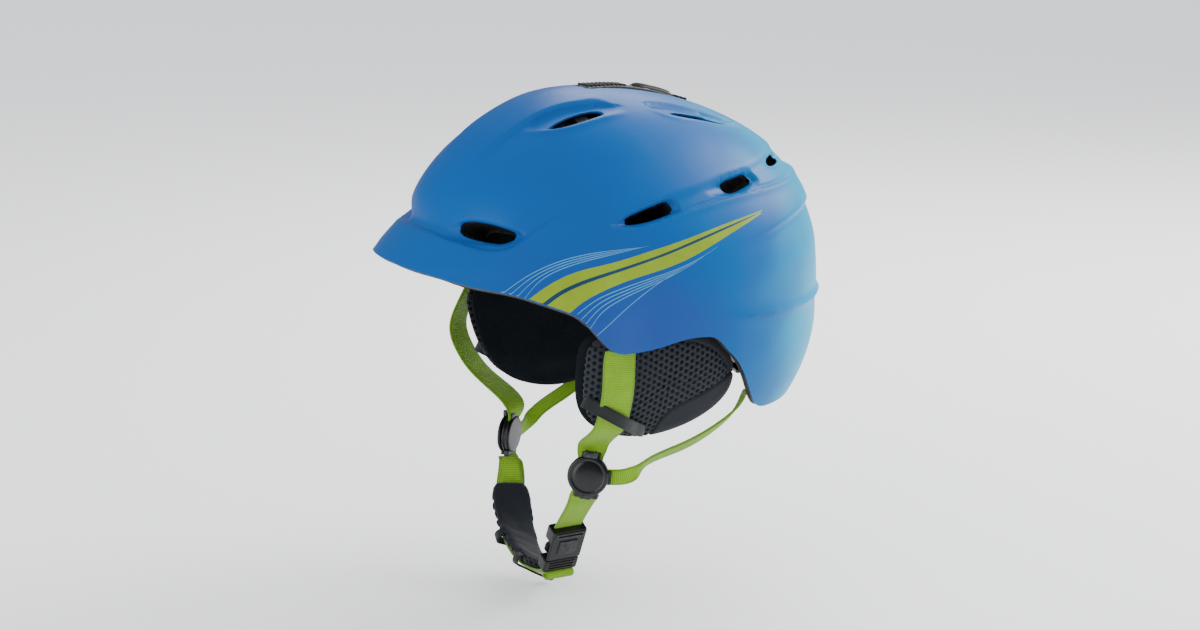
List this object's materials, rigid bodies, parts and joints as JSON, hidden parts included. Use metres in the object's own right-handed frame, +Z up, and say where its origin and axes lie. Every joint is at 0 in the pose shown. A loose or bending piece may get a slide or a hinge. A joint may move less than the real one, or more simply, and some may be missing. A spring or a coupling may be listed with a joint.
{
  "type": "ski helmet",
  "caption": "Ski helmet with brim, vented shell over a foam liner, sliding top vents, rear fit dial, fabric ear flaps, webbing harness with divider discs, padded chin strap and buckle.",
  "frame": {"origin": "middle of the crown pad's flat underside, where the top of the head rests", "axes": "+Z up, -Y the way the wearer faces, +X the wearer's left"},
  "size_m": [0.2206, 0.3012, 0.3273],
  "materials": {
    "shell": "satin azure blue paint with lime bands",
    "foam": "black expanded foam",
    "webbing": "lime polyester webbing, fine cross ribs",
    "trim_rubber": "matt black",
    "spacer_mesh": "slate spacer mesh",
    "fleece": "brushed slate fleece",
    "elastic": "grey woven elastic",
    "stud_metal": "nickel",
    "black_plastic": "satin black moulding"
  },
  "bodies": {
    "helmet": {"outer_shell": "shell", "eps_liner": "foam", "edge_trim": "trim_rubber", "slider_track": "black_plastic", "crown_pad": "fleece", "brow_pad": "fleece", "side_pad_left": "fleece", "side_pad_right": "fleece", "fit_cradle": "black_plastic", "cradle_pad": "fleece", "dial_housing": "black_plastic", "strap_anchor_front_left": "black_plastic", "strap_anchor_front_right": "black_plastic", "strap_anchor_rear_left": "black_plastic", "strap_anchor_rear_right": "black_plastic", "goggle_clip_base": "black_plastic", "goggle_clip_stud": "stud_metal"},
    "vent_slider": {"vent_slider_knob": "black_plastic", "vent_shutter": "black_plastic"},
    "fit_dial": {"fit_dial": "black_plastic", "dial_pinion": "black_plastic"},
    "fit_arm_left": {"fit_arm_left": "black_plastic"},
    "fit_arm_right": {"fit_arm_right": "black_plastic"},
    "ear_left": {"ear_pad_left": "spacer_mesh", "ear_lining_left": "fleece", "pad_keeper_left": "elastic", "strap_front_left": "webbing", "strap_rear_left": "webbing", "divider_left": "black_plastic", "strap_lower_left": "webbing", "buckle_socket": "black_plastic"},
    "ear_right": {"ear_pad_right": "spacer_mesh", "ear_lining_right": "fleece", "pad_keeper_right": "elastic", "strap_front_right": "webbing", "strap_rear_right": "webbing", "divider_right": "black_plastic"},
    "chin_strap": {"strap_lower_right": "webbing", "chin_pad": "spacer_mesh", "chin_loop_a": "elastic", "chin_loop_b": "elastic", "buckle_plug": "black_plastic", "strap_tail": "webbing"},
    "release_front": {"buckle_release_front": "black_plastic"},
    "release_rear": {"buckle_release_rear": "black_plastic"},
    "lid_left": {"divider_lid_left": "black_plastic"},
    "lid_right": {"divider_lid_right": "black_plastic"},
    "goggle_clip": {"goggle_clip_strap": "trim_rubber"}
  },
  "joints": [
    {"name": "vent_slide", "type": "hinge", "parent": "helmet", "child": "vent_slider", "pos_m": [0, -0.003, -0.115], "axis": [1, 0, 0], "range_deg": [0, 3.1]},
    {"name": "dial_turn", "type": "hinge", "parent": "helmet", "child": "fit_dial", "pos_m": [0, 0.108, -0.148], "axis": [0, -1, 0], "range_deg": [0, 130]},
    {"name": "arm_left_pull", "type": "hinge", "parent": "helmet", "child": "fit_arm_left", "pos_m": [0, 0.018, -0.078], "axis": [0, 0, 1], "range_deg": [-0.1, 8]},
    {"name": "arm_right_pull", "type": "hinge", "parent": "helmet", "child": "fit_arm_right", "pos_m": [0, 0.018, -0.078], "axis": [0, 0, -1], "range_deg": [-0.1, 8]},
    {"name": "ear_left_swing", "type": "hinge", "parent": "helmet", "child": "ear_left", "pos_m": [0.1008, -0.0415, -0.114], "axis": [0.1362, -0.916, 0.3774], "range_deg": [0, 24]},
    {"name": "ear_right_swing", "type": "hinge", "parent": "helmet", "child": "ear_right", "pos_m": [-0.1008, -0.0415, -0.114], "axis": [0.1362, 0.916, -0.3774], "range_deg": [0, 24]},
    {"name": "chin_strap_swing", "type": "hinge", "parent": "ear_right", "child": "chin_strap", "pos_m": [-0.068, -0.031, -0.21], "axis": [0, 1, 0], "range_deg": [0, 55]},
    {"name": "release_front_squeeze", "type": "hinge", "parent": "chin_strap", "child": "release_front", "pos_m": [0.03486, -0.0562, -0.26227], "axis": [-0.8927, 0, 0.4507], "range_deg": [0, 6]},
    {"name": "release_rear_squeeze", "type": "hinge", "parent": "chin_strap", "child": "release_rear", "pos_m": [0.03486, -0.0418, -0.26227], "axis": [0.8927, 0, -0.4507], "range_deg": [0, 6]},
    {"name": "lid_left_flip", "type": "hinge", "parent": "ear_left", "child": "lid_left", "pos_m": [0.07277, -0.0468, -0.18591], "axis": [-0.5631, -0.8172, 0.1226], "range_deg": [0, 95]},
    {"name": "lid_right_flip", "type": "hinge", "parent": "ear_right", "child": "lid_right", "pos_m": [-0.07121, -0.03172, -0.19602], "axis": [-0.6551, 0.7472, -0.1121], "range_deg": [0, 95]},
    {"name": "goggle_clip_open", "type": "hinge", "parent": "helmet", "child": "goggle_clip", "pos_m": [0, 0.15023, -0.07255], "axis": [1, 0, 0], "range_deg": [0, 110]}
  ],
  "couplings": [
    {"joint": "arm_left_pull", "follows": "dial_turn", "ratio": 0.0605},
    {"joint": "arm_right_pull", "follows": "dial_turn", "ratio": 0.0605}
  ]
}
